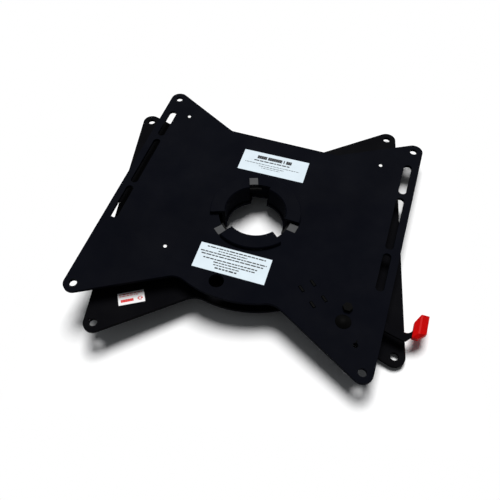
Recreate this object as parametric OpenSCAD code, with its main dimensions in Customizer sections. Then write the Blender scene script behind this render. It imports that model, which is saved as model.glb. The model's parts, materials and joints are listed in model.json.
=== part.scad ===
// Swivel seat base for a caravan or camper seat.
// Millimetres. The origin is on the swivel's axis at the base plate's underside, +Z points up and the
// base plate's bolt pattern lies along X and Y. The seat side is drawn square to its own pattern and
// then turned by seat_turn, so the two plates stand a little apart as they do when unlatched.

/* [Plates] */
// Distance between the bolt holes across the seat
bolt_spacing_x = 340; // [320:2:360]
// Distance between the bolt holes from front to back
bolt_spacing_y = 332; // [316:2:350]
// Diameter of the four bolt holes in each plate
bolt_hole_d = 9.5; // [8:0.5:12]
// Radius of each plate corner, centred on its bolt hole
corner_r = 12; // [10:0.5:15]
// Thickness of both plates
plate_t = 4; // [3:0.5:5]
// Slope of the arms on the near side, in degrees
near_arm_angle = 29.7; // [28:0.1:31]
// Slope of the arms on the far side, in degrees
far_arm_angle = 28.7; // [27:0.1:31]
// Distance of the straight far edge from the line of the far bolt holes
far_edge_in = 38.4; // [36:0.2:46]
// Distance of the round near edge from the line of the near bolt holes
near_edge_in = 35.8; // [30:0.2:38]
// Radius of the hollow where a near arm meets the round edge
near_fillet_r = 22; // [16:1:26]
// Radius of the hollow where a far arm meets the straight edge
far_fillet_r = 10; // [6:1:16]

/* [Seat plate holes] */
// Gap all round between the hub's wall and the seat plate's bore
bore_play = 4; // [3.5:0.1:4.4]
// Width of the six long slots
slot_w = 10; // [8:0.5:11]
// Distance of the slots' centre line from the line of the bolt holes
slot_in = 2.3; // [2:0.1:6]
// Near and far end of each slot, measured back from the far bolt hole
slot_from_bolt = [[229.5, 175], [169, 85.5], [78.2, 26.5]];
// Diameter of the access hole in front of the hub
access_d = 18; // [12:1:20]
// Distance of the access hole from the middle plane
access_x = -12.4; // [-14:0.1:14]
// Distance of the access hole from the round near edge
access_in = 20.3; // [16:0.1:24]

/* [Base plate holes] */
// Diameter of the pilot hole beside the near left bolt hole
pilot_d = 3; // [2:0.5:4]
// Place of the pilot hole from the centre of that bolt hole
pilot_from_bolt = [-5.5, 3];

/* [Hub] */
// Outer radius of the hub's upright wall
hub_wall_r = 42; // [40:0.5:44]
// Thickness of the hub's wall, flange and lugs
hub_t = 4; // [3.5:0.1:4.5]
// Width of the flange's rim inside the hub's wall
hub_rim = 2; // [1.5:0.5:4]
// Width of the flange under the base plate
hub_flange_w = 20; // [19:0.5:24]
// Reach of the three lugs from the hub's wall
lug_w = 15; // [12:0.5:16]
// Width of each gap between two lugs, in degrees
lug_gap_angle = 38; // [30:1:44]
// Clear height between the seat plate and the lugs
lug_lift = 0.5; // [0.4:0.1:1]
// Direction of the first gap, seen from the base plate
lug_gap_at = 87.5; // [80:0.5:95]
// Width of the three notches in the hub's flange
notch_w = 21; // [16:1:22]
// Reach of the notches past the hub's wall
notch_reach = 5; // [2:0.5:5]
// Diameter of the hub rivets
rivet_d = 6; // [4:0.5:6]
// Number of hub rivets
rivet_count = 6; // [3:3:9]

/* [Rings] */
// Gap all round between the hub's wall and the two steel rings
ring_play = 5.2; // [5.2:0.1:6]
// Width of the spacer ring
spacer_w = 22.8; // [19:0.2:26]
// Height of the spacer ring
spacer_h = 7; // [6.8:0.1:7.2]
// Width of the index ring
index_w = 32.8; // [30:0.2:34]
// Thickness of the index ring
index_t = 5; // [4.8:0.1:5.2]
// Thickness of the plastic slip ring
slip_t = 2.7; // [2.4:0.1:3.2]
// Distance of the slip ring from the index ring's rim
slip_in = 4; // [2:0.5:8]

/* [Guide pads] */
// Number of guide pads round the bore
pad_count = 6; // [3:3:6]
// Direction of the first pad on the seat plate
pad_at = 110; // [106:1:114]
// Width of the part of a pad that shows in the bore
pad_w = 11; // [10:0.5:14]
// Width of the pad's flange under the seat plate
pad_flange_w = 20; // [16:1:24]
// Gap between the pads' flanges and the slip ring
pad_gap = 3.1; // [1:0.1:4]
// Running clearance between the pads and the hub
pad_play = 0.3; // [0.2:0.05:0.5]

/* [Latch] */
// Distance from the lever's pivot to the latch bar's middle line
pivot_offset = 10.38; // [9:0.01:12]
// Width of the latch bar
latch_w = 12.6; // [10:0.2:13]
// How much thinner the latch bar is than the index ring
latch_drop = 1; // [0.8:0.1:1.4]
// Length of the latch bar past its drive pin
latch_past_pin = 9; // [8:0.5:12]
// Width of the latch bar's nose
nose_w = 9; // [7:0.5:10]
// Length over which the nose narrows
nose_taper = 7; // [5:0.5:9]
// Distance from the drive pin back to the middle of the inner guide
inner_guide_back = 57.4; // [55:0.1:60]
// Distance from the drive pin back to the middle of the outer guide
outer_guide_back = 34; // [33:0.1:37]
// Length of a guide along the latch bar
guide_len = 10; // [8:0.5:11]
// Thickness of the sheet that the guides are bent from
guide_t = 2.5; // [2:0.1:2.8]
// How far the guides' tabs stand above the seat plate
tab_proud = 0.6; // [0:0.1:1]
// Length of the offset head of the latch bar
head_len = 22; // [18:0.5:24]
// Wall of the offset head beside the drive pin's slot
head_wall = 4.6; // [3:0.2:6]

/* [Lever] */
// Place of the lever's pivot from the near right bolt hole
pivot_from_bolt = [-32, 51.5];
// Wall of the lever's disc outside the spring's hole
lever_wall = 1.5; // [1:0.1:2.5]
// Clear height between the lever and the seat plate
lever_play = 0.4; // [0.3:0.1:0.8]
// Near edge of the lever's arm and stem, from the disc to the grip, seen from the pivot
arm_near_edge = [[8, 14], [45, 6], [63.5, 1.6], [67, 0.8], [69.6, 2.2], [71.8, 5], [74, 7.6]];
// Far edge of the lever's stem and arm, from the grip back to the disc, seen from the pivot
arm_far_edge = [[74.6, 17.2], [73.2, 14.4], [71.3, 12.5], [69, 11.4], [66, 11.2], [45, 16.8], [8, 22.5]];
// How far the lever turns outwards from the position shown, in degrees
lever_out_turn = 12; // [8:1:14]
// How far the lever turns back when the latch drops into the index ring, in degrees
lever_in_turn = 20; // [14:1:22]
// Distance from the pivot to the drive pin
drive_arm = 17.8; // [17:0.1:18.6]
// Diameter of the drive pin
drive_pin_d = 6; // [5:0.25:6.5]
// Diameter of the pivot bolt's shank
pivot_d = 10; // [8:0.5:10]
// Diameter of the pivot bolt's domed head
pivot_head_d = 18; // [16:0.5:20]
// Height of the pivot bolt's domed head
pivot_head_h = 4; // [3:0.5:5]
// Place of the stop screw from the lever's pivot
stop_from_pivot = [0.7, 17.9];
// Diameter of the stop screw
stop_d = 6; // [5:0.5:6]
// Width of the hexagon of the stop screw's head and nut
stop_hex = 10; // [8:0.5:10]
// Width of the hexagon of the pivot nut
pivot_hex = 17; // [15:0.5:17]
// Height of the pivot nut
pivot_nut_h = 6; // [4:0.5:6]
// Diameter of the pivot washer
washer_d = 20; // [18:0.5:20]
// Thickness of the pivot washer
washer_t = 1.3; // [1:0.1:1.6]
// Height of the stop screw's head
stop_head_h = 4; // [3:0.5:5]
// Height of the stop screw's nut
stop_nut_h = 5; // [3:0.5:6]

/* [Grip] */
// Length of the red grip along its own axis
grip_len = 31.7; // [30:0.1:34]
// Width of the grip across its two long sides
grip_w = 14.6; // [14:0.2:17]
// Width of the square part at each end of the grip
grip_end_w = 6.4; // [6:0.2:8]
// Length of the slanted corner at the near end, on the outer side
grip_near_slant = 8.5; // [6:0.5:10]
// Length of the slanted corner at the far end, on the inner side
grip_far_slant = 12; // [10:0.5:13]
// Thickness of the grip
grip_t = 12; // [9:0.5:14]
// Width of the grip's ridge
grip_ridge_w = 2; // [1:0.5:4]
// Distance of the ridge from the grip's middle line, towards the lever
grip_ridge_at = 1.1; // [0:0.1:2]
// Start and end of the ridge along the grip
grip_ridge_ends = [5.2, 29.2];
// Middle of the grip's near end, from the pivot
grip_from_pivot = [81.7, 7.2];
// Direction of the grip's length, in degrees
grip_angle = 90; // [86:0.5:94]
// Start and end of the lever's tang along the grip
tang_ends = [4, 22];
// Place along the grip where the stem's far edge meets the tang
tang_neck = 12; // [10:0.5:16]
// Outer and inner edge of the lever's tang from the grip's middle line
tang_edges = [-1.8, 3.8];

/* [Return spring] */
// Distance from the lever's disc to the middle of the spring's hole in the seat plate
spring_hole_out = 5.4; // [2.6:0.1:6]
// Direction from the pivot to the spring's hole in the seat plate, in degrees
spring_hole_angle = -51.4; // [-56:0.1:-44]
// Diameter of the two spring holes
spring_hole_d = 6; // [5:0.5:6.5]
// Distance from the pivot to the spring's hole in the lever
spring_arm = 20; // [19:0.1:21]
// Direction from the pivot to the spring's hole in the lever
spring_arm_angle = 3; // [0:1:8]
// Outer diameter of the spring's coil
coil_d = 6.6; // [5:0.2:7]
// Diameter of the spring's wire
wire_d = 1.2; // [0.8:0.1:1.4]
// Number of turns of the coil
coil_turns = 6; // [4:1:8]

/* [Glide studs] */
// Corner that each of the three glide studs is measured from: left or right, near or far
stud_corner = [[-1, 1], [1, 1], [-1, -1]];
// Distances of each glide stud from the bolt hole of its corner
stud_in = [[27.5, 30.3], [37, 38.5], [82.2, 82]];
// Diameter of a glide stud's stem
stud_d = 4.4; // [4:0.2:7]
// Diameter of a glide stud's pad
stud_pad_d = 15; // [12:0.5:18]
// Clear height between the glide studs and the base plate
stud_play = 0.6; // [0.5:0.1:1]

/* [Labels] */
// Thickness of all labels
label_t = 0.3; // [0.2:0.05:0.5]
// Width and height of the two large labels
label_size = [89, 36.2];
// Distance of the label behind the hub from the middle plane
upper_label_x = -1.3; // [-6:0.1:6]
// Gap between the hub's lugs and the label behind it
upper_label_gap = 7.7; // [5:0.1:12]
// Distance of the label in front of the hub from the middle plane
lower_label_x = -3.1; // [-6:0.1:6]
// Gap between the hub's lugs and the label in front of it
lower_label_gap = 5.8; // [5:0.1:8]
// Small turn of the large labels, in degrees
label_turn = 1; // [-2:0.5:2]
// Width and height of the small label on the base plate
base_label_size = [31.4, 16.4];
// Middle of the small label from the base plate's near left bolt hole
base_label_from_bolt = [36.7, 37.1];
// Turn of the small label, in degrees
base_label_turn = 19; // [14:1:26]

/* [Fits] */
// Width of the broken edges of the hub, the rings and the pads
edge_break = 1; // [0.4:0.1:1.2]
// Depth of the countersinks of the hub rivets
countersink = 2.4; // [1.6:0.1:2.6]
// Gap left between parts that slide on each other
slide_gap = 0.3; // [0.2:0.05:0.3]
// Radial gap of the lever on its pivot bolt
pivot_fit = 0.05; // [0.02:0.01:0.1]
// Radial gap of a fixed pin or screw in its hole
fixed_fit = 0.05; // [0.02:0.01:0.1]
// Gap all round a guide's tab in its slot
tab_play = 0.6; // [0.2:0.1:0.9]
// Angle of the seat plate from the base plate, seen from above
seat_turn = -11.87; // [-14:0.01:-8]

/* [Hidden] */
$fn = 96;

// Heights of the stack
hub_bottom = -hub_t;
base_top = plate_t;
spacer_top = base_top + spacer_h;
index_top = spacer_top + index_t;
slip_top = index_top + slip_t;
seat_under = slip_top + slide_gap;
seat_top = seat_under + plate_t;
lug_under = seat_top + lug_lift;
hub_top = lug_under + hub_t;
latch_z = spacer_top + slide_gap;
latch_t = index_t - latch_drop;
lever_z = latch_z + latch_t + slide_gap;
lever_t = seat_under - lever_play - lever_z;
washer_top = lever_z - slide_gap;

// Lengths that cuts run past a face
past = 1;

// Plate outline: each arm touches its corner's arc, and a hollow joins it to the middle
bolt_x = bolt_spacing_x / 2;
bolt_y = bolt_spacing_y / 2;
far_edge = bolt_y - far_edge_in;
near_edge_r = bolt_y - near_edge_in;
near_normal = [-sin(near_arm_angle), -cos(near_arm_angle)];
near_run = [cos(near_arm_angle), -sin(near_arm_angle)];
near_hollow = near_normal * [bolt_x, -bolt_y] + corner_r + near_fillet_r;
near_fillet_at = near_hollow * near_normal + sqrt((near_edge_r + near_fillet_r) ^ 2 - near_hollow ^ 2) * near_run;
far_normal = [-sin(far_arm_angle), cos(far_arm_angle)];
far_hollow = far_normal * [bolt_x, bolt_y] + corner_r + far_fillet_r;
far_fillet_y = far_edge + far_fillet_r;
far_fillet_at = [(far_fillet_y * cos(far_arm_angle) - far_hollow) / sin(far_arm_angle), far_fillet_y];
arc_chord = 2;

// Places on the plates
slot_x = bolt_x - slot_in;
slot_ends = [for (back = slot_from_bolt) [bolt_y - back[0], bolt_y - back[1]]];
access_at = [access_x, access_in - near_edge_r];
stud_at = [for (i = [0 : len(stud_in) - 1])
    [stud_corner[i].x * (bolt_x - stud_in[i].x), stud_corner[i].y * (bolt_y - stud_in[i].y)]];
base_label_at = [-bolt_x, -bolt_y] + base_label_from_bolt;

// Hub and rings
hub_wall_in_r = hub_wall_r - hub_t;
hub_flange_in_r = hub_wall_in_r - hub_rim;
hub_flange_r = hub_wall_r + hub_flange_w;
lug_r = hub_wall_r + lug_w;
notch_r = hub_wall_r + notch_reach;
seat_bore_r = hub_wall_r + bore_play;
ring_in_r = hub_wall_r + ring_play;
spacer_r = ring_in_r + spacer_w;
index_r = ring_in_r + index_w;
rivet_circle_r = (ring_in_r + hub_flange_r) / 2;
upper_label_at = [upper_label_x, lug_r + upper_label_gap + label_size.y / 2];
lower_label_at = [lower_label_x, -lug_r - lower_label_gap - label_size.y / 2];
gap_count = 3;
gap_step = 360 / gap_count;
wedge_r = 2 * lug_r;
rivet_step = 360 / rivet_count;
rivet_at = lug_gap_at + gap_step / 4;

// Guide pads and slip ring
pad_face_r = hub_wall_r + pad_play;
pad_slot_r = lug_r;
pad_step = 360 / pad_count;
pad_lip = 1.5;
slip_in_r = pad_slot_r + pad_lip + pad_gap;
slip_r = index_r - slip_in;

// Latch: X runs outwards along the bar, Y across it
pivot_at = [bolt_x, -bolt_y] + pivot_from_bolt;
latch_angle = atan2(pivot_at.y, pivot_at.x) - asin(pivot_offset / norm(pivot_at));
nose_x = index_r + slide_gap;
pin_s = sqrt(norm(pivot_at) ^ 2 - pivot_offset ^ 2);
pin_n = pivot_offset - drive_arm;
pin_rise = drive_arm * (1 - cos(lever_in_turn));
pin_play = 0.2;
latch_end = pin_s + latch_past_pin;
head_x = latch_end - head_len;
engage = drive_arm * sin(lever_in_turn);
nut_r = pivot_hex / 2 / cos(30);
head_top = pivot_offset - max(nut_r, washer_d / 2) - slide_gap;
head_reach = drive_pin_d / 2 - pin_n + head_wall;
inner_guide_at = pin_s - inner_guide_back;
outer_guide_at = pin_s - outer_guide_back;
leg_in = latch_w / 2 + slide_gap;
leg_out = leg_in + guide_t;
web_z = latch_z - slide_gap - guide_t;
tab_step = 1;

// Lever: the stop screw and the spring turn about the pivot
lever_disc_r = spring_arm + spring_hole_d / 2 + lever_wall;
stop_at = pivot_at + stop_from_pivot;
stop_arm = norm(stop_from_pivot);
stop_angle = atan2(stop_from_pivot.y, stop_from_pivot.x);
stop_play = 0.3;
stop_margin = 1;
spring_on_lever = pivot_at + spring_arm * [cos(spring_arm_angle), sin(spring_arm_angle)];
spring_hole_at = pivot_at + (lever_disc_r + spring_hole_out) * [cos(spring_hole_angle), sin(spring_hole_angle)];

// Return spring: X runs from the seat plate's hole to the lever's hole
spring_line = spring_on_lever - spring_hole_at;
wire_r = wire_d / 2;
hook_in = spring_hole_d / 2 - wire_r - 0.1;
spring_len = norm(spring_line) - 2 * hook_in;
spring_angle = atan2(spring_line.y, spring_line.x);
spring_drop = 1.3;
spring_z = lever_z - spring_drop - coil_d / 2;

// Colours
plate_black = [0.10, 0.10, 0.11];
zinc = [0.62, 0.63, 0.65];
steel = [0.45, 0.46, 0.48];
ring_black = [0.13, 0.13, 0.14];
pad_grey = [0.36, 0.37, 0.38];
grip_red = [0.75, 0.07, 0.06];
label_blue_white = [0.80, 0.85, 0.88];
label_white = [0.93, 0.93, 0.92];

// Repeats its children on both sides of the middle plane
module both_sides() {
    children();
    mirror([1, 0, 0]) children();
}

// Turns the seat side away from the base side
module seat_side() {
    rotate(seat_turn) children();
}

// Lays children along the latch, X outwards
module along_latch() {
    rotate(latch_angle) children();
}

// Points along an arc
function arc(centre, radius, from, to) =
    let (count = ceil(radius * abs(to - from) * PI / 180 / arc_chord))
    [for (i = [0 : count]) let (a = from + (to - from) * i / count) centre + radius * [cos(a), sin(a)]];

// Right half of the outline shared by both plates, from the far edge round to the near edge
function half_outline() = concat(
    arc(far_fillet_at, far_fillet_r, -90, far_arm_angle - 90),
    arc([bolt_x, bolt_y], corner_r, 90 + far_arm_angle, 0),
    arc([bolt_x, -bolt_y], corner_r, 0, -90 - near_arm_angle),
    arc(near_fillet_at, near_fillet_r, 90 - near_arm_angle, atan2(-near_fillet_at.y, -near_fillet_at.x)),
    arc([0, 0], near_edge_r, atan2(near_fillet_at.y, near_fillet_at.x), -90)
);

module plate_outline() {
    half = half_outline();
    last = len(half) - 1;
    polygon(concat(half, [for (i = [last - 1 : -1 : 0]) [-half[i].x, half[i].y]]));
}

// The four bolt holes of a plate
module bolt_holes() {
    both_sides()
        for (y = [-bolt_y, bolt_y])
            translate([bolt_x, y]) circle(d = bolt_hole_d);
}

// A slot with round ends along Y
module long_slot(from_y, to_y, width) {
    translate([0, from_y + width / 2]) circle(d = width);
    translate([0, to_y - width / 2]) circle(d = width);
    translate([-width / 2, from_y + width / 2]) square([width, to_y - from_y - width]);
}

// The three notches of the hub's flange, also cut through the base plate
module hub_notches() {
    for (i = [0 : gap_count - 1])
        rotate(lug_gap_at + i * gap_step)
            translate([0, -notch_w / 2]) square([notch_r, notch_w]);
}

// Places its children on the circle of hub rivets
module at_rivets() {
    for (i = [0 : rivet_count - 1])
        rotate(rivet_at + i * rivet_step)
            translate([rivet_circle_r, 0, 0]) children();
}

// One rivet with a countersunk head at both ends, grown all round for its hole
module rivet(grow) {
    translate([0, 0, hub_bottom]) {
        cylinder(h = index_top - hub_bottom, d = rivet_d + 2 * grow);
        cylinder(h = countersink, r1 = rivet_d / 2 + countersink * 0.8 + grow, r2 = rivet_d / 2 + grow);
    }
    translate([0, 0, index_top - countersink])
        cylinder(h = countersink, r1 = rivet_d / 2 + grow, r2 = rivet_d / 2 + countersink * 0.8 + grow);
}

module base_plate() {
    color(plate_black)
    difference() {
        linear_extrude(plate_t) difference() {
            plate_outline();
            bolt_holes();
            circle(r = hub_wall_r + fixed_fit);
            hub_notches();
            translate([-bolt_x, -bolt_y] + pilot_from_bolt) circle(d = pilot_d);
        }
        at_rivets() rivet(fixed_fit);
    }
}

module hub() {
    color(plate_black)
    difference() {
        rotate_extrude() hub_profile();
        for (i = [0 : gap_count - 1])
            rotate(lug_gap_at + i * gap_step)
                linear_extrude(hub_top + past) lug_gap();
        translate([0, 0, hub_bottom - past]) linear_extrude(hub_t + 2 * past) hub_notches();
        at_rivets() rivet(fixed_fit);
    }
}

// Half section of the hub: flange, upright wall and lug
module hub_profile() {
    polygon([
        [hub_flange_in_r, hub_bottom],
        [hub_flange_r - edge_break, hub_bottom],
        [hub_flange_r, hub_bottom + edge_break],
        [hub_flange_r, 0],
        [hub_wall_r, 0],
        [hub_wall_r, lug_under],
        [lug_r, lug_under],
        [lug_r, hub_top - edge_break],
        [lug_r - edge_break, hub_top],
        [hub_wall_in_r + edge_break, hub_top],
        [hub_wall_in_r, hub_top - edge_break],
        [hub_wall_in_r, 0],
        [hub_flange_in_r, 0]
    ]);
}

// Wedge that opens the gap between two lugs
module lug_gap() {
    polygon([
        [0, 0],
        wedge_r * [cos(lug_gap_angle / 2), -sin(lug_gap_angle / 2)],
        wedge_r * [cos(lug_gap_angle / 2), sin(lug_gap_angle / 2)]
    ]);
}

module hub_rivets() {
    color(steel) at_rivets() rivet(0);
}

module spacer_ring() {
    color(ring_black)
    difference() {
        translate([0, 0, base_top]) cylinder(h = spacer_h, r = spacer_r);
        cylinder(h = index_top, r = ring_in_r);
        at_rivets() rivet(fixed_fit);
    }
}

module index_ring() {
    color(ring_black)
    difference() {
        translate([0, 0, spacer_top]) cylinder(h = index_t, r = index_r);
        cylinder(h = index_top + past, r = ring_in_r);
        for (opposite = [0, 180])
            rotate(opposite) along_latch()
                linear_extrude(index_top + past) index_notch();
        at_rivets() rivet(fixed_fit);
    }
}

// Notch that the latch bar's nose drops into
module index_notch() {
    polygon([
        [index_r - engage, -nose_w / 2 - slide_gap],
        [index_r - engage + nose_taper, -latch_w / 2 - slide_gap],
        [index_r + nose_taper, -latch_w / 2 - slide_gap],
        [index_r + nose_taper, latch_w / 2 + slide_gap],
        [index_r - engage + nose_taper, latch_w / 2 + slide_gap],
        [index_r - engage, nose_w / 2 + slide_gap]
    ]);
}

module slip_ring() {
    color(ring_black)
    rotate_extrude()
        polygon([
            [slip_in_r, index_top],
            [slip_r, index_top],
            [slip_r, slip_top - edge_break],
            [slip_r - edge_break, slip_top],
            [slip_in_r + edge_break, slip_top],
            [slip_in_r, slip_top - edge_break]
        ]);
}

module base_label() {
    color(label_white)
    translate([base_label_at.x, base_label_at.y, base_top])
        rotate(base_label_turn)
            linear_extrude(label_t) square(base_label_size, center = true);
}

module seat_plate() {
    color(plate_black)
    seat_side()
        translate([0, 0, seat_under])
            linear_extrude(plate_t) difference() {
                plate_outline();
                bolt_holes();
                both_sides()
                    for (ends = slot_ends)
                        translate([slot_x, 0]) long_slot(ends[0], ends[1], slot_w);
                circle(r = seat_bore_r);
                pad_slots();
                translate(access_at) circle(d = access_d);
                for (place = stud_at)
                    translate(place) circle(d = stud_d + 2 * fixed_fit);
                translate(pivot_at) circle(d = pivot_d + 2 * fixed_fit);
                translate(stop_at) circle(d = stop_d + 2 * fixed_fit);
                translate(spring_hole_at) circle(d = spring_hole_d);
                along_latch() {
                    guide_tabs(inner_guide_at, tab_play);
                    guide_tabs(outer_guide_at, tab_play);
                }
            }
}

// Slots in the seat plate's bore that the guide pads sit in
module pad_slots() {
    for (i = [0 : pad_count - 1])
        rotate(pad_at + i * pad_step)
            translate([0, -pad_w / 2 - fixed_fit]) square([pad_slot_r + fixed_fit, pad_w + 2 * fixed_fit]);
}

module guide_pads() {
    color(pad_grey)
    seat_side()
        for (i = [0 : pad_count - 1])
            rotate(pad_at + i * pad_step) guide_pad();
}

// One pad along X: a tongue in the seat plate's slot, on a flange under the plate that runs on the hub
module guide_pad() {
    difference() {
        translate([0, -pad_w / 2, seat_under - past])
            cube([pad_slot_r, pad_w, lug_under - slide_gap - seat_under + past]);
        cylinder(h = hub_top, r = seat_bore_r);
    }
    difference() {
        translate([0, -pad_flange_w / 2, seat_under - slip_t])
            cube([pad_slot_r + pad_lip, pad_flange_w, slip_t]);
        cylinder(h = hub_top, r = pad_face_r);
    }
}

module glide_studs() {
    color(label_white)
    seat_side()
        for (place = stud_at)
            translate([place.x, place.y, 0]) glide_stud();
}

// A glide stud: its stem fills the seat plate's hole and its pad hangs over the base plate
module glide_stud() {
    rotate_extrude()
        polygon([
            [0, base_top + stud_play],
            [stud_pad_d / 2 - edge_break, base_top + stud_play],
            [stud_pad_d / 2, base_top + stud_play + edge_break],
            [stud_pad_d / 2, seat_under],
            [stud_d / 2, seat_under],
            [stud_d / 2, seat_top],
            [0, seat_top]
        ]);
}

// A blank label on the seat plate
module seat_label(place) {
    color(label_blue_white)
    seat_side()
        translate([place.x, place.y, seat_top])
            rotate(label_turn)
                linear_extrude(label_t) square(label_size, center = true);
}

module upper_label() {
    seat_label(upper_label_at);
}

module lower_label() {
    seat_label(lower_label_at);
}

// A hexagon nut or head with its bore or shank left out
module hexagon(width, height) {
    cylinder(h = height, d = width / cos(30), $fn = 6);
}

module pivot_bolt() {
    dome_r = (pivot_head_d ^ 2 / 4 + pivot_head_h ^ 2) / (2 * pivot_head_h);
    color(plate_black)
    seat_side()
        translate([pivot_at.x, pivot_at.y, 0]) {
            intersection() {
                translate([0, 0, seat_top + pivot_head_h - dome_r]) sphere(r = dome_r);
                translate([0, 0, seat_top]) cylinder(h = pivot_head_h + past, d = pivot_head_d);
            }
            translate([0, 0, washer_top - washer_t - pivot_nut_h])
                cylinder(h = seat_top - washer_top + washer_t + pivot_nut_h, d = pivot_d);
        }
}

module pivot_washer() {
    color(zinc)
    seat_side()
        translate([pivot_at.x, pivot_at.y, washer_top - washer_t])
            difference() {
                cylinder(h = washer_t, d = washer_d);
                translate([0, 0, -past]) cylinder(h = washer_t + 2 * past, d = pivot_d + 2 * fixed_fit);
            }
}

module pivot_nut() {
    color(zinc)
    seat_side()
        translate([pivot_at.x, pivot_at.y, washer_top - washer_t - pivot_nut_h])
            difference() {
                hexagon(pivot_hex, pivot_nut_h);
                translate([0, 0, -past]) cylinder(h = pivot_nut_h + 2 * past, d = pivot_d + 2 * fixed_fit);
            }
}

module stop_screw() {
    color(plate_black)
    seat_side()
        translate([stop_at.x, stop_at.y, 0]) {
            translate([0, 0, seat_top]) hexagon(stop_hex, stop_head_h);
            translate([0, 0, washer_top - stop_nut_h])
                cylinder(h = seat_top - washer_top + stop_nut_h, d = stop_d);
        }
}

module stop_nut() {
    color(zinc)
    seat_side()
        translate([stop_at.x, stop_at.y, washer_top - stop_nut_h])
            difference() {
                hexagon(stop_hex, stop_nut_h);
                translate([0, 0, -past]) cylinder(h = stop_nut_h + 2 * past, d = stop_d + 2 * fixed_fit);
            }
}

// The two tabs of a guide where they pass the seat plate, grown all round for their slots
module guide_tabs(at, grow) {
    for (side = [-1, 1])
        translate([at, side * (leg_in + leg_out) / 2])
            square([guide_len - 2 * tab_step + 2 * grow, guide_t + 2 * grow], center = true);
}

// A bent sheet guide: two legs with tabs through the seat plate, and a web that carries the latch bar
module guide(at) {
    color(plate_black)
    seat_side() along_latch() {
        translate([at - guide_len / 2, -leg_out, web_z]) cube([guide_len, 2 * leg_out, guide_t]);
        for (side = [-1, 1])
            translate([at - guide_len / 2, side > 0 ? leg_in : -leg_out, web_z])
                cube([guide_len, guide_t, seat_under - web_z]);
        translate([0, 0, web_z]) linear_extrude(seat_top + tab_proud - web_z) guide_tabs(at, 0);
    }
}

module inner_guide() {
    guide(inner_guide_at);
}

module outer_guide() {
    guide(outer_guide_at);
}

module latch_bar() {
    color(steel)
    seat_side() along_latch()
        translate([0, 0, latch_z])
            linear_extrude(latch_t) difference() {
                latch_outline();
                drive_slot();
            }
}

// Outline of the latch bar: tapered nose, straight bar and offset head
module latch_outline() {
    bar = latch_w / 2;
    polygon([
        [nose_x, -nose_w / 2],
        [nose_x + nose_taper, -bar],
        [head_x - head_reach + bar, -bar],
        [head_x, -head_reach],
        [latch_end, -head_reach],
        [latch_end, head_top],
        [head_x - bar + head_top, head_top],
        [head_x - 2 * bar + 2 * head_top, bar],
        [nose_x + nose_taper, bar],
        [nose_x, nose_w / 2]
    ]);
}

// Slot across the latch bar's head that the drive pin runs in
module drive_slot() {
    half = drive_pin_d / 2 + pin_play;
    for (n = [pin_n, pin_n + pin_rise])
        translate([pin_s, n]) circle(r = half);
    translate([pin_s - half, pin_n]) square([2 * half, pin_rise]);
}

module lever() {
    color(plate_black)
    seat_side()
        translate([0, 0, lever_z])
            linear_extrude(lever_t) difference() {
                lever_outline();
                translate(pivot_at) circle(d = pivot_d + 2 * pivot_fit);
                translate(spring_on_lever) circle(d = spring_hole_d);
                translate(pivot_at) rotate(latch_angle) translate([0, -drive_arm])
                    circle(d = drive_pin_d + 2 * fixed_fit);
                stop_slot();
            }
}

// A point of the grip, along and across it, as seen from the pivot
function on_grip(along, across) = grip_from_pivot +
    [along * cos(grip_angle) - across * sin(grip_angle), along * sin(grip_angle) + across * cos(grip_angle)];

// Outline of the lever: disc, arm, curved stem and the tang inside the grip
module lever_outline() {
    translate(pivot_at) {
        circle(r = lever_disc_r);
        polygon(concat(
            arm_near_edge,
            [
                on_grip(tang_ends[0], tang_edges[0]),
                on_grip(tang_ends[1], tang_edges[0]),
                on_grip(tang_ends[1], tang_edges[1]),
                on_grip(tang_neck, tang_edges[1])
            ],
            arm_far_edge
        ));
    }
}

// Curved slot of the lever round the pivot for the stop screw
module stop_slot() {
    half = stop_d / 2 + stop_play;
    low = stop_angle - lever_out_turn - stop_margin;
    high = stop_angle + lever_in_turn + stop_margin;
    translate(pivot_at)
        polygon(concat(
            arc([0, 0], stop_arm + half, low, high),
            arc(stop_arm * [cos(high), sin(high)], half, high, high + 180),
            arc([0, 0], stop_arm - half, high, low),
            arc(stop_arm * [cos(low), sin(low)], half, low + 180, low + 360)
        ));
}

module drive_pin() {
    color(zinc)
    seat_side()
        translate([pivot_at.x, pivot_at.y, latch_z - slide_gap])
            rotate(latch_angle) translate([0, -drive_arm, 0])
                cylinder(h = lever_z + lever_t - latch_z + slide_gap, d = drive_pin_d);
}

module grip() {
    color(grip_red)
    seat_side()
        difference() {
            translate([pivot_at.x + grip_from_pivot.x, pivot_at.y + grip_from_pivot.y, lever_z + lever_t / 2])
                rotate(grip_angle) grip_body();
            translate([0, 0, lever_z - fixed_fit])
                linear_extrude(lever_t + 2 * fixed_fit) lever_outline();
        }
}

// Faceted grip along X: two opposite corners slanted and a ridge on both faces
module grip_body() {
    rim_t = grip_t * 0.4;
    side = grip_w / 2;
    hull() {
        translate([0, 0, -rim_t / 2]) linear_extrude(rim_t)
            polygon([
                [0, side],
                [0, side - grip_end_w],
                [grip_near_slant, -side],
                [grip_len, -side],
                [grip_len, grip_end_w - side],
                [grip_len - grip_far_slant, side]
            ]);
        translate([grip_ridge_ends[0], grip_ridge_at - grip_ridge_w / 2, -grip_t / 2])
            cube([grip_ridge_ends[1] - grip_ridge_ends[0], grip_ridge_w, grip_t]);
    }
}

// Unit vector along v
function unit(v) = v / norm(v);

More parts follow.
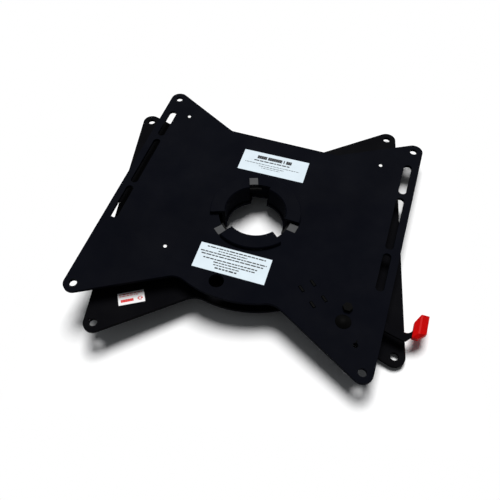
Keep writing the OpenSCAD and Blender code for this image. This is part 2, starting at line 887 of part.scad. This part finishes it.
// Middle line of the spring's wire: hook over the seat plate, coil, hook in the lever
function spring_path() =
    let (
        turn_r = coil_d / 2 - wire_r,
        steps_per_turn = 16,
        steps = coil_turns * steps_per_turn,
        over = seat_top + wire_r - spring_z,
        rise = lever_z + lever_t - spring_z - 0.1,
        first = wire_d,
        last = spring_len - wire_d
    )
    concat(
        [[3 * wire_d, 0, over], [wire_r, 0, over], [0, 0, over - wire_r], [0, 0, wire_r], [wire_r, 0, 0]],
        [for (i = [0 : steps])
            let (a = 360 * i / steps_per_turn, r = turn_r * min(1, 4 * i / steps_per_turn, 4 * (steps - i) / steps_per_turn))
            [first + (last - first) * i / steps, r * sin(a), r * cos(a)]],
        [[spring_len - wire_r, 0, 0], [spring_len, 0, wire_r], [spring_len, 0, rise]]
    );

// Direction of the path at each of its points
function directions(path) =
    [for (i = [0 : len(path) - 1]) unit(path[min(i + 1, len(path) - 1)] - path[max(i - 1, 0)])];

// Side direction at each point, turned as little as possible from one point to the next
function sides(along) =
    [for (i = 0, side = unit(cross(along[0], [0, 1, 0.01])); i < len(along);
          i = i + 1, side = i < len(along) ? unit(side - (side * along[i]) * along[i]) : side) side];

// Round wire swept along a path
module wire(path, radius) {
    corners = 8;
    count = len(path);
    along = directions(path);
    across = sides(along);
    points = [for (i = [0 : count - 1], k = [0 : corners - 1])
        path[i] + radius * (cos(360 * k / corners) * across[i] + sin(360 * k / corners) * cross(along[i], across[i]))];
    walls = [for (i = [0 : count - 2], k = [0 : corners - 1])
        let (next = (k + 1) % corners)
        [i * corners + k, (i + 1) * corners + k, (i + 1) * corners + next, i * corners + next]];
    ends = [[for (k = [0 : corners - 1]) k], [for (k = [0 : corners - 1]) count * corners - 1 - k]];
    polyhedron(points = points, faces = concat(walls, ends));
}

module return_spring() {
    start = spring_hole_at + hook_in * unit(spring_line);
    color(plate_black)
    seat_side()
        translate([start.x, start.y, spring_z])
            rotate(spring_angle) wire(spring_path(), wire_r);
}

base_plate();
hub();
hub_rivets();
spacer_ring();
index_ring();
slip_ring();
base_label();
seat_plate();
guide_pads();
glide_studs();
upper_label();
lower_label();
pivot_bolt();
pivot_washer();
pivot_nut();
stop_screw();
stop_nut();
inner_guide();
outer_guide();
return_spring();
latch_bar();
lever();
drive_pin();
grip();
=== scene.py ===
"""Swivel seat base: camera, light, floor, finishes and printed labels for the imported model."""
import json
import math
import random

import bpy
import bmesh
from mathutils import Matrix, Vector


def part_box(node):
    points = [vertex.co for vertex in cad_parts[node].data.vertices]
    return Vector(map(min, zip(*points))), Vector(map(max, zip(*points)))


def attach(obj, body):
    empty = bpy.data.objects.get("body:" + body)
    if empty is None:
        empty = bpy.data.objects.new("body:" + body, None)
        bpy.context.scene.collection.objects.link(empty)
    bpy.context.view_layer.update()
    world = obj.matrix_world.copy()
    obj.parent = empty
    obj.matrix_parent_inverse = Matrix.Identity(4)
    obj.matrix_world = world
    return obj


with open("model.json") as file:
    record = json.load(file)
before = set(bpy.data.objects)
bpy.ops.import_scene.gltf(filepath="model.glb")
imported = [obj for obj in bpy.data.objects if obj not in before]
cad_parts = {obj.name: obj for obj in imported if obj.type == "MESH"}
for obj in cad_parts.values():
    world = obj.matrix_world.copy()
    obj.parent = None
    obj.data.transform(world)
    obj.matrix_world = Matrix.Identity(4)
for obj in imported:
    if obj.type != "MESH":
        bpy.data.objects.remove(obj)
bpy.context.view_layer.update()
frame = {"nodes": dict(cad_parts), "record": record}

MM = 0.001

# Angle of the seat plate from the base plate, as at rest in the frame
SEAT_TURN = math.radians(-11.87)

# Camera, found from the corner holes of both plates
VIEW_AZIMUTH = math.radians(9.892)
VIEW_ELEVATION = math.radians(55.634)
VIEW_ROLL = math.radians(-2.561)
VIEW_DISTANCE = 0.6884
VIEW_TARGET = Vector((-0.03417, -0.06022, 0.021))
VIEW_LENS = 41.095
SENSOR_WIDTH = 36.0
VIEW_SHIFT_X = 0.056
VIEW_NEAREST = 0.01
VIEW_FURTHEST = 50

# Light: one broad lamp from behind and above, and a faint even sky
SUN_AZIMUTH = math.radians(182)
SUN_ELEVATION = math.radians(64)
SUN_WIDTH = math.radians(30)
SUN_STRENGTH = 3.7
SKY_COLOUR = (0.92, 0.96, 1.0, 1)
SKY_STRENGTH = 0.08
WHITE = (1, 1, 1, 1)

# Floor: the seat base leans over to its right corners, so the floor falls away to the left of it.
# The sheet ends near the object, because it would rise into a low view from the right.
FLOOR_HALF = 0.26
FLOOR_DEPTH = 19 * MM
# Slope of the floor along the seat plate's X and Y
FLOOR_RISE = (0.080, 0.004)
FLOOR_COLOUR = (0.95, 0.95, 0.95)
FLOOR_SHADE = (0.94, 0.94, 0.94)

# Samples of each bevelled normal
BEVEL_SAMPLES = 6

# The guide pads are darkened below this height in the frame, as painted shade where they run under the
# seat plate
PAINTED_SHADE_TOP = 19.5 * MM
PAINTED_SHADE_FADE = 0.3 * MM
PAINTED_SHADE_TONE = 0.04


def direction(azimuth, elevation):
    """Unit vector from the swivel's middle; azimuth 0 is the front, along negative Y."""
    return Vector((
        math.sin(azimuth) * math.cos(elevation),
        -math.cos(azimuth) * math.cos(elevation),
        math.sin(elevation),
    ))


def add_camera():
    data = bpy.data.cameras.new("view_camera")
    data.lens = VIEW_LENS
    data.sensor_width = SENSOR_WIDTH
    data.shift_x = VIEW_SHIFT_X
    data.clip_start = VIEW_NEAREST
    data.clip_end = VIEW_FURTHEST
    camera = bpy.data.objects.new("view_camera", data)
    bpy.context.scene.collection.objects.link(camera)
    back = direction(VIEW_AZIMUTH, VIEW_ELEVATION)
    level = Vector((math.cos(VIEW_AZIMUTH), math.sin(VIEW_AZIMUTH), 0))
    upright = back.cross(level)
    right = math.cos(VIEW_ROLL) * level + math.sin(VIEW_ROLL) * upright
    up = math.cos(VIEW_ROLL) * upright - math.sin(VIEW_ROLL) * level
    place = Matrix((right, up, back)).transposed().to_4x4()
    place.translation = VIEW_TARGET + VIEW_DISTANCE * back
    camera.matrix_world = place
    bpy.context.scene.camera = camera


def add_sun():
    data = bpy.data.lights.new("broad_lamp", "SUN")
    data.energy = SUN_STRENGTH
    data.angle = SUN_WIDTH
    sun = bpy.data.objects.new("broad_lamp", data)
    bpy.context.scene.collection.objects.link(sun)
    towards = direction(SUN_AZIMUTH, SUN_ELEVATION)
    sun.rotation_euler = towards.to_track_quat("Z", "Y").to_euler()


def add_sky():
    """An even sky: white to the camera, in reflections and through clear things, faint as a light."""
    world = bpy.data.worlds.new("studio_sky")
    bpy.context.scene.world = world
    world.use_nodes = True
    nodes, links = world.node_tree.nodes, world.node_tree.links
    nodes.clear()
    path = nodes.new("ShaderNodeLightPath")
    seen = path.outputs["Is Camera Ray"]
    for ray in ("Is Glossy Ray", "Is Transmission Ray"):
        either = nodes.new("ShaderNodeMath")
        either.operation = "MAXIMUM"
        links.new(seen, either.inputs[0])
        links.new(path.outputs[ray], either.inputs[1])
        seen = either.outputs["Value"]
    faint = nodes.new("ShaderNodeBackground")
    faint.inputs["Color"].default_value = SKY_COLOUR
    faint.inputs["Strength"].default_value = SKY_STRENGTH
    white = nodes.new("ShaderNodeBackground")
    white.inputs["Color"].default_value = WHITE
    mix = nodes.new("ShaderNodeMixShader")
    out = nodes.new("ShaderNodeOutputWorld")
    links.new(seen, mix.inputs["Fac"])
    links.new(faint.outputs["Background"], mix.inputs[1])
    links.new(white.outputs["Background"], mix.inputs[2])
    links.new(mix.outputs["Shader"], out.inputs["Surface"])


class Recipe:
    """A material's node tree with one Principled shader, built step by step."""

    def __init__(self, name, roughness, metallic=0.0, specular=0.5):
        self.material = bpy.data.materials.new(name)
        self.material.use_nodes = True
        self.nodes = self.material.node_tree.nodes
        self.links = self.material.node_tree.links
        self.shader = self.nodes["Principled BSDF"]
        self.shader.inputs["Roughness"].default_value = roughness
        self.shader.inputs["Metallic"].default_value = metallic
        self.shader.inputs["Specular IOR Level"].default_value = specular
        self.place = self.nodes.new("ShaderNodeTexCoord").outputs["Object"]

    def stretched(self, scale):
        """Object coordinates scaled by a different amount along each axis."""
        mapping = self.nodes.new("ShaderNodeMapping")
        mapping.inputs["Scale"].default_value = scale
        self.links.new(self.place, mapping.inputs["Vector"])
        return mapping.outputs["Vector"]

    def height(self):
        """Height in the frame, in metres."""
        split = self.nodes.new("ShaderNodeSeparateXYZ")
        self.links.new(self.place, split.inputs["Vector"])
        return split.outputs["Z"]

    def noise(self, per_metre, detail=3.0, vector=None):
        node = self.nodes.new("ShaderNodeTexNoise")
        node.inputs["Scale"].default_value = per_metre
        node.inputs["Detail"].default_value = detail
        self.links.new(vector or self.place, node.inputs["Vector"])
        return node.outputs["Fac"]

    def ramp(self, value, low, high, from_value=0.0, to_value=1.0):
        """Maps value from low..high to from_value..to_value and stops there."""
        node = self.nodes.new("ShaderNodeMapRange")
        node.inputs["From Min"].default_value = low
        node.inputs["From Max"].default_value = high
        node.inputs["To Min"].default_value = from_value
        node.inputs["To Max"].default_value = to_value
        self.links.new(value, node.inputs["Value"])
        return node.outputs["Result"]

    def product(self, first, second):
        node = self.nodes.new("ShaderNodeMath")
        node.operation = "MULTIPLY"
        self.links.new(first, node.inputs[0])
        self.links.new(second, node.inputs[1])
        return node.outputs["Value"]

    def blend(self, factor, first, second):
        """Blends two colours, each given as numbers or as a socket."""
        node = self.nodes.new("ShaderNodeMix")
        node.data_type = "RGBA"
        self.links.new(factor, node.inputs["Factor"])
        for name, colour in (("A", first), ("B", second)):
            socket = [s for s in node.inputs if s.name == name and s.type == "RGBA"][0]
            if isinstance(colour, tuple):
                socket.default_value = (*colour, 1)
            else:
                self.links.new(colour, socket)
        return [s for s in node.outputs if s.type == "RGBA"][0]

    def colour(self, socket):
        self.links.new(socket, self.shader.inputs["Base Color"])

    def roughness(self, socket):
        self.links.new(socket, self.shader.inputs["Roughness"])

    def rounded_normal(self, radius):
        """The surface's normal, as if its sharp edges were rounded."""
        bevel = self.nodes.new("ShaderNodeBevel")
        bevel.samples = BEVEL_SAMPLES
        bevel.inputs["Radius"].default_value = radius
        return bevel.outputs["Normal"]

    def edges(self, radius):
        """A mask that is 1 along sharp edges, where the rounded normal leaves the true one."""
        dot = self.nodes.new("ShaderNodeVectorMath")
        dot.operation = "DOT_PRODUCT"
        flat = self.nodes.new("ShaderNodeNewGeometry").outputs["True Normal"]
        self.links.new(self.rounded_normal(radius), dot.inputs[0])
        self.links.new(flat, dot.inputs[1])
        return self.ramp(dot.outputs["Value"], 1.0, 0.8)

    def bump(self, height, strength, distance, edge_radius=0.0):
        """Gives the shader the height's relief, over edges rounded by edge_radius."""
        node = self.nodes.new("ShaderNodeBump")
        node.inputs["Strength"].default_value = strength
        node.inputs["Distance"].default_value = distance
        self.links.new(height, node.inputs["Height"])
        if edge_radius:
            self.links.new(self.rounded_normal(edge_radius), node.inputs["Normal"])
        self.links.new(node.outputs["Normal"], self.shader.inputs["Normal"])


def toned(colour, factor):
    """A colour made lighter or darker."""
    return tuple(factor * c for c in colour)


def coated_steel(name, colour, worn_colour, roughness=0.6, specular=0.012):
    """Powder coating: fine orange peel, faint cloudy sheen and rubbed edges."""
    recipe = Recipe(name, roughness, specular=specular)
    base = recipe.blend(recipe.ramp(recipe.noise(9, 4), 0.35, 0.65), colour, toned(colour, 1.2))
    patches = recipe.ramp(recipe.noise(60, 5), 0.5, 0.7, to_value=0.8)
    rubbed = recipe.product(recipe.edges(0.5 * MM), patches)
    recipe.colour(recipe.blend(rubbed, base, worn_colour))
    recipe.roughness(recipe.ramp(recipe.noise(25, 5), 0.3, 0.7, roughness - 0.07, roughness + 0.09))
    recipe.bump(recipe.noise(900, 2), 0.12, 0.06 * MM, edge_radius=0.4 * MM)
    return recipe.material


def bare_steel(name, colour, roughness=0.32):
    """Plated or turned steel with fine scratches and slight stains."""
    recipe = Recipe(name, roughness, metallic=1.0)
    stain = recipe.ramp(recipe.noise(40, 5), 0.35, 0.7)
    recipe.colour(recipe.blend(stain, colour, toned(colour, 0.78)))
    scratch = recipe.noise(500, 3, recipe.stretched((1, 12, 1)))
    recipe.roughness(recipe.ramp(scratch, 0.3, 0.7, roughness - 0.08, roughness + 0.12))
    recipe.bump(scratch, 0.15, 0.02 * MM, edge_radius=0.3 * MM)
    return recipe.material


def moulded_plastic(name, colour, roughness, specular=0.5, painted_shade_below=None):
    """Moulded plastic with a fine grain and slight scuffs, darkened below a given height as painted
    shade.
    """
    recipe = Recipe(name, roughness, specular=specular)
    base = recipe.blend(recipe.ramp(recipe.noise(70, 4), 0.3, 0.7), colour, toned(colour, 0.86))
    patches = recipe.ramp(recipe.noise(180, 4), 0.5, 0.72, to_value=0.5)
    scuff = recipe.product(recipe.edges(0.6 * MM), patches)
    base = recipe.blend(scuff, base, tuple(min(1.0, 1.25 * c + 0.03) for c in colour))
    if painted_shade_below:
        # Painted shade: the colour turns dark below the given height, where the pads lie in shade under
        # the seat plate
        painted_shade_mask = recipe.ramp(recipe.height(), painted_shade_below - PAINTED_SHADE_FADE, painted_shade_below, 1.0, 0.0)
        base = recipe.blend(painted_shade_mask, base, toned(colour, PAINTED_SHADE_TONE))
    recipe.colour(base)
    recipe.roughness(recipe.ramp(recipe.noise(160, 4), 0.3, 0.7, roughness - 0.06, roughness + 0.08))
    recipe.bump(recipe.noise(700, 2), 0.15, 0.05 * MM, edge_radius=0.5 * MM)
    return recipe.material


def label_film(name, colour):
    """Label film or the ink on it: faint grain, slight unevenness and a soft sheen."""
    recipe = Recipe(name, roughness=0.5, specular=0.12)
    recipe.colour(recipe.blend(recipe.ramp(recipe.noise(45, 4), 0.35, 0.7), colour, toned(colour, 0.93)))
    recipe.bump(recipe.noise(350, 3), 0.1, 0.03 * MM)
    return recipe.material


def floor_paper():
    recipe = Recipe("floor_paper", roughness=1.0, specular=0.0)
    recipe.colour(recipe.blend(recipe.ramp(recipe.noise(2, 2), 0.3, 0.7), FLOOR_COLOUR, FLOOR_SHADE))
    return recipe.material


# Finishes by the record's material slots, and dull_black for OWN_FINISH
MATERIALS = {
    "black_steel": coated_steel("black_coating", (0.0014, 0.0017, 0.0034), (0.02, 0.02, 0.023)),
    "dull_black": coated_steel("dull_coating", (0.0012, 0.0012, 0.0018), (0.014, 0.014, 0.016)),
    "black_zinc": coated_steel("black_fastener", (0.0012, 0.0012, 0.0012), (0.008, 0.008, 0.007),
                               roughness=0.5, specular=0.013),
    "bright_steel": bare_steel("turned_steel", (0.42, 0.43, 0.45)),
    "zinc": bare_steel("zinc_plate", (0.56, 0.57, 0.60), roughness=0.36),
    # The guide pads are darkened below a set height: painted shade under the seat plate
    "grey_plastic": moulded_plastic("grey_plastic", (0.077, 0.078, 0.080), roughness=0.55,
                                    specular=0.03, painted_shade_below=PAINTED_SHADE_TOP),
    "black_plastic": moulded_plastic("black_plastic", (0.006, 0.006, 0.007), roughness=0.5, specular=0.1),
    "stud_white": moulded_plastic("white_plastic", (0.86, 0.86, 0.85), roughness=0.5),
    "red_plastic": moulded_plastic("red_plastic", (0.56, 0.003, 0.003), roughness=0.38, specular=0.04),
    "label_blue": label_film("label_film", (0.67, 0.765, 0.825)),
    "label_white": label_film("label_white", (0.86, 0.84, 0.84)),
}

# Pieces whose finish isn't that of their slot: two look duller than the seat plate, and the rivets are
# coated with the hub.
OWN_FINISH = {"base_plate": "dull_black", "lever": "dull_black", "hub_rivets": "black_steel"}


def dress_nodes():
    """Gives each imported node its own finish, or else that of its material slot."""
    for part in frame["record"]["subparts"]:
        mesh = frame["nodes"][part["node"]].data
        mesh.materials.clear()
        mesh.materials.append(MATERIALS[OWN_FINISH.get(part["node"], part["material_slot"])])


def add_floor():
    """A square pale sheet, FLOOR_DEPTH under the frame's origin and sloping by FLOOR_RISE."""
    rise = Matrix.Rotation(SEAT_TURN, 2) @ Vector(FLOOR_RISE)
    corners = []
    for x, y in ((-1, -1), (1, -1), (1, 1), (-1, 1)):
        flat = Vector((x, y)) * FLOOR_HALF
        corners.append((flat.x, flat.y, rise.dot(flat) - FLOOR_DEPTH))
    mesh = bpy.data.meshes.new("floor")
    mesh.from_pydata(corners, [], [(0, 1, 2, 3)])
    mesh.materials.append(floor_paper())
    floor = bpy.data.objects.new("floor", mesh)
    bpy.context.scene.collection.objects.link(floor)


# Printed labels: each line of print is a row of plain bars, as (down, start, end, height) from the
# label's upper left corner. These and all sizes of the print are in millimetres.
LABEL_SIZE = (89.0, 36.2)
UPPER_ROWS = [(8.6, 20, 33, 5.6), (8.6, 34.5, 54, 5.6), (8.6, 56, 57.4, 5.6), (8.6, 59.5, 67, 5.6),
              (15.0, 17, 67, 1.8), (20.4, 6, 80, 0.9), (24.0, 26, 60, 0.9), (27.0, 30, 55, 0.7)]
LOWER_ROWS = [(3.6, 9, 82, 1.6), (7.3, 24, 60, 1.3), (11.0, 3, 85, 1.6), (14.7, 5, 83, 1.6),
              (19.8, 9, 76, 1.6), (23.4, 23, 74, 1.5), (27.0, 24, 56, 1.4), (30.8, 27, 54, 2.0)]
BASE_LABEL_SIZE = (31.4, 16.4)
BASE_ROWS = [(2.4, 2, 29, 1.0), (4.8, 2, 24, 0.9), (11.2, 3, 18, 3.6), (8.6, 24, 28, 0.9),
             (10.6, 23, 25, 2.0), (10.6, 27, 29, 2.0), (12.6, 24, 28, 0.9)]
LABEL_TURN = SEAT_TURN + math.radians(1)
BASE_LABEL_TURN = math.radians(19)
PRINT_LIFT = 0.03

# Rows taller than BOLD are made of bars as wide as letters, the others of bars as long as words
BOLD = 3.0
LETTER = 2.6
LETTER_SPACE = 0.1
WORD_MIN = 1.2
WORD_MAX = 4.2
WORD_SPACE = 1.1
SHORTEST_BAR = 0.5
# The space between words grows with the row's height, between these shares of WORD_SPACE
SPACE_PER_HEIGHT = 0.5
SPACE_LEAST = 0.7
SPACE_MOST = 1.2


def bar_and_space(choose, tall):
    """Length of a bar, and of the space after it, in a row of the given height."""
    word = choose.uniform(WORD_MIN, WORD_MAX) * max(1.0, tall)
    if tall > BOLD:
        return LETTER, LETTER_SPACE
    return word, WORD_SPACE * min(SPACE_MOST, max(SPACE_LEAST, tall * SPACE_PER_HEIGHT))


def print_rows(name, label, turn, size, rows, ink, body, seed):
    """Rows of bars lying on a label's upper face."""
    width, height = size
    low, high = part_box(label)
    middle = Vector(((low.x + high.x) / 2, (low.y + high.y) / 2, high.z))
    place = Matrix.Translation(middle) @ Matrix.Rotation(turn, 4, "Z")
    choose = random.Random(seed)
    mesh = bmesh.new()
    for down, start, end, tall in rows:
        left = start
        while left < end - SHORTEST_BAR:
            bar, space = bar_and_space(choose, tall)
            bar = min(bar, end - left)
            corners = [(left, down - tall / 2), (left + bar, down - tall / 2),
                       (left + bar, down + tall / 2), (left, down + tall / 2)]
            points = [Vector((x - width / 2, height / 2 - y, PRINT_LIFT)) * MM for x, y in corners]
            mesh.faces.new([mesh.verts.new(place @ point) for point in points])
            left += bar + space
    bmesh.ops.recalc_face_normals(mesh, faces=mesh.faces)
    data = bpy.data.meshes.new(name)
    mesh.to_mesh(data)
    mesh.free()
    data.materials.append(ink)
    piece = bpy.data.objects.new(name, data)
    bpy.context.scene.collection.objects.link(piece)
    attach(piece, body)


def add_print():
    grey_ink = label_film("grey_ink", (0.010, 0.011, 0.013))
    red_ink = label_film("red_ink", (0.66, 0.015, 0.015))
    print_rows("upper_print", "upper_label", LABEL_TURN, LABEL_SIZE, UPPER_ROWS, grey_ink,
               "seat", seed=3)
    print_rows("lower_print", "lower_label", LABEL_TURN, LABEL_SIZE, LOWER_ROWS, grey_ink,
               "seat", seed=8)
    print_rows("base_print", "base_label", BASE_LABEL_TURN, BASE_LABEL_SIZE, BASE_ROWS, red_ink,
               "base", seed=5)


add_camera()
add_sun()
add_sky()
dress_nodes()
add_print()
add_floor()
bpy.context.scene.view_settings.view_transform = "Standard"
